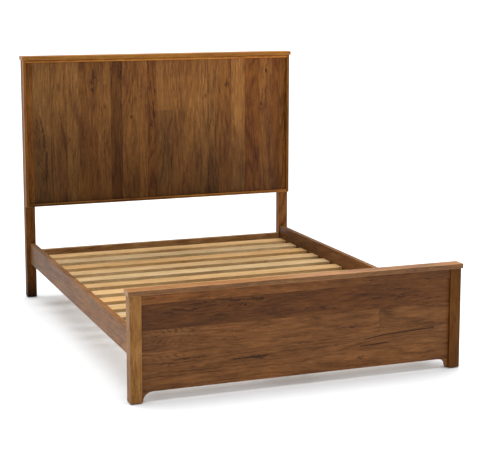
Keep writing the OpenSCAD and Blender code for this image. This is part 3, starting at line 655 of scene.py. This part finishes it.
slat_stain = stained_wood("planed_poplar", ("8F7149", "A98B5F", "BD9F74", "CDB28A"), "6A5030",
                          satin=0.6, figure=0.8)
slats = sorted((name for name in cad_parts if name.startswith("slat_") and name[5:].isdigit()),
               key=lambda name: int(name[5:]))
low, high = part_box(slats[0])
slat_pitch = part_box(slats[1])[0].y - low.y
board = dict(low=low, high=high, run=GRAIN_X, face=GRAIN_Y, seed=101)
slat_pattern = timber("slat_pattern", [board], slat_stain)
setting_out = Jig("slat_setting_out", {"Slat": "Object", "Count": "Int", "Pitch": "Float", "Seed": "Int",
                                       "Finish": "Material"})
sizes = setting_out.given
one_pitch = setting_out.add("ShaderNodeCombineXYZ", {1: sizes["Pitch"]})
centres = setting_out.add("GeometryNodeMeshLine", {"Count": sizes["Count"], "Offset": one_pitch},
                          mode="OFFSET", count_mode="TOTAL")
one_slat = setting_out.add("GeometryNodeObjectInfo", {"Object": sizes["Slat"]}, "Geometry")
laid = setting_out.add("GeometryNodeInstanceOnPoints", {"Points": centres, "Instance": one_slat})
order = setting_out.add("GeometryNodeInputIndex", {})
for field, least, most, salt in (("shift", (0, 0, 0), (7, 5, 5), 0),
                                 ("batch", (-0.16, -0.2, 0), (0.10, 0.6, 0), 50)):
    salted = setting_out.add("ShaderNodeMath", {0: sizes["Seed"], 1: salt}, operation="ADD")
    draw = setting_out.tree.nodes.new("FunctionNodeRandomValue")
    draw.data_type = "FLOAT_VECTOR"
    draw.inputs[0].default_value, draw.inputs[1].default_value = least, most
    setting_out.tree.links.new(order, draw.inputs["ID"])
    setting_out.tree.links.new(salted, draw.inputs["Seed"])
    stored = {"Geometry": laid, "Name": field, "Value": draw.outputs[0]}
    laid = setting_out.add("GeometryNodeStoreNamedAttribute", stored,
                           data_type="FLOAT_VECTOR", domain="INSTANCE")
setting_out.finish(laid, sizes["Finish"])
slat_row = setting_out.make("slats", [(0, 0, 0)], [(0, 0, 1)], {
    "Slat": slat_pattern, "Count": len(slats), "Pitch": slat_pitch, "Seed": 7, "Finish": slat_stain})
bpy.data.objects.remove(slat_pattern)
fit(slat_row, slats)

# Screws. Yellow zinc-plated deck screws with a cross recess hold each slat at its ends and middle,
# and the cleats to the rails. They are driven flush, and each stops at its own turn.
screw_zinc = zinc("screw_zinc", "D8C88C", "9C8C58", 0.22, 1600)
coat(["plate_screws", "hanger_screws"], screw_zinc)
head_r, rim, shank_r, head_deep = 0.004, 0.0003, 0.002, 0.0024
shank_long, point_long, point_r = 0.034, 0.005, 0.0001
recess, recess_taper, arm, slot_half = 0.0014, 0.8, 0.0023, 0.00045
screw_sides = 12
corners = [math.radians(30 * k - 15) for k in range(screw_sides)]
cross = [(x * math.cos(turn) - y * math.sin(turn), x * math.sin(turn) + y * math.cos(turn))
         for turn in (0, math.pi / 2, math.pi, 3 * math.pi / 2)
         for x, y in ((arm, -slot_half), (arm, slot_half), (slot_half, slot_half))]
rings = [[(x * recess_taper, y * recess_taper, -recess) for x, y in cross], [(x, y, 0) for x, y in cross]]
for radius, height in ((head_r - rim, 0), (head_r, -rim), (shank_r, -head_deep),
                       (shank_r, -shank_long + point_long), (point_r, -shank_long)):
    rings.append([(radius * math.cos(turn), radius * math.sin(turn), height) for turn in corners])
points = [point for ring in rings for point in ring]
faces = [list(range(screw_sides)), [len(points) - 1 - k for k in range(screw_sides)]]
for ring in range(len(rings) - 1):
    upper, lower = screw_sides * ring, screw_sides * (ring + 1)
    for k in range(screw_sides):
        after = (k + 1) % screw_sides
        faces.append([upper + k, lower + k, lower + after, upper + after])
flat_faces = 2 + screw_sides
soft = [k >= flat_faces for k in range(len(faces))]
screw_pattern = solid("screw_pattern", np.array(points), faces, soft, {}, screw_zinc)
driving = Jig("screw_driving", {"Screw": "Object", "Seed": "Int", "Finish": "Material"})
sizes = driving.given
way = driving.add("GeometryNodeInputNamedAttribute", {"Name": "way"}, data_type="FLOAT_VECTOR")
upright = driving.add("FunctionNodeAlignRotationToVector", {"Vector": way}, axis="Z")
draw = driving.tree.nodes.new("FunctionNodeRandomValue")
draw.data_type = "FLOAT"
draw.inputs[3].default_value = math.pi
driving.tree.links.new(sizes["Seed"], draw.inputs["Seed"])
stop = driving.add("FunctionNodeAxisAngleToRotation", {"Axis": (0, 0, 1), "Angle": draw.outputs[1]})
turned = driving.add("FunctionNodeRotateRotation", {0: upright, 1: stop}, rotation_space="LOCAL")
one_screw = driving.add("GeometryNodeObjectInfo", {"Object": sizes["Screw"]}, "Geometry")
driven = driving.add("GeometryNodeInstanceOnPoints", {"Points": sizes["Geometry"], "Instance": one_screw,
                                                      "Rotation": turned})
driving.finish(driven, sizes["Finish"])

flush, slat_top = 0.0002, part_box(slats[0])[1].z
slat_centres = [(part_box(name)[0].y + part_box(name)[1].y) / 2 for name in slats]
screw_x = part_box("slat_screws")[1].x - head_r
places = [(x, y, slat_top + flush) for y in slat_centres for x in (-screw_x, 0, screw_x)]
slat_screws = driving.make("slat_screws", places, [(0, 0, 1)] * len(places),
                           {"Screw": screw_pattern, "Seed": 3, "Finish": screw_zinc})
fit(slat_screws, ["slat_screws"])
low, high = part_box("slat_cleat_right")
places = [(side * (low.x - flush), y + slat_pitch / 2, (low.z + high.z) / 2)
          for side in (-1, 1) for y in slat_centres[:-1:2]]
cleat_screws = driving.make("cleat_screws", places, [(-x, 0, 0) for x, y, z in places],
                            {"Screw": screw_pattern, "Seed": 5, "Finish": screw_zinc})
fit(cleat_screws, ["cleat_screws"])
bpy.data.objects.remove(screw_pattern)

# Floor, lamp and camera. A pale seamless floor under a broad soft lamp that hangs nearly overhead,
# a little towards the head of the bed, in a white room that fills the shadows.
floor_half, floor_gap = 150, 0.0006
ground = bpy.data.meshes.new("floor")
corners = [(x * floor_half, y * floor_half, -floor_gap) for x, y in ((-1, -1), (1, -1), (1, 1), (-1, 1))]
ground.from_pydata(corners, [], [(0, 1, 2, 3)])
floor = bpy.data.objects.new("floor", ground)
bpy.context.scene.collection.objects.link(floor)
pale = Finish("pale_floor")
pale.shader.inputs["Base Color"].default_value = (0.80, 0.82, 0.84, 1)
pale.shader.inputs["Roughness"].default_value = 0.9
pale.shader.inputs["Specular IOR Level"].default_value = 0.1
ground.materials.append(pale.material)

room = bpy.data.worlds.new("studio")
room.use_nodes = True
backdrop = room.node_tree.nodes["Background"]
backdrop.inputs["Color"].default_value = (1.0, 1.0, 1.0, 1)
ray = room.node_tree.nodes.new("ShaderNodeLightPath")
strength = room.node_tree.nodes.new("ShaderNodeMapRange")
strength.inputs["To Min"].default_value = 0.58
strength.inputs["To Max"].default_value = 1.0
room.node_tree.links.new(ray.outputs["Is Camera Ray"], strength.inputs["Value"])
room.node_tree.links.new(strength.outputs[0], backdrop.inputs["Strength"])
bpy.context.scene.world = room
lamp = bpy.data.objects.new("soft_lamp", bpy.data.lights.new("soft_lamp", "SUN"))
lamp.data.energy = 4.0
lamp.data.angle = math.radians(70)
lamp.rotation_euler = Vector((0.03, 0.16, 0.98)).to_track_quat("Z", "Y").to_euler()
bpy.context.scene.collection.objects.link(lamp)

lens = bpy.data.cameras.new("camera")
lens.lens = 100.36
lens.sensor_width = 36
lens.shift_y = -0.1
camera = bpy.data.objects.new("camera", lens)
camera.location = (-2.3506, -6.4869, 1.8282)
camera.rotation_euler = (math.radians(90 - 8.563), 0, math.radians(-20.765))
bpy.context.scene.collection.objects.link(camera)
bpy.context.scene.camera = camera
bpy.context.scene.view_settings.view_transform = "Standard"
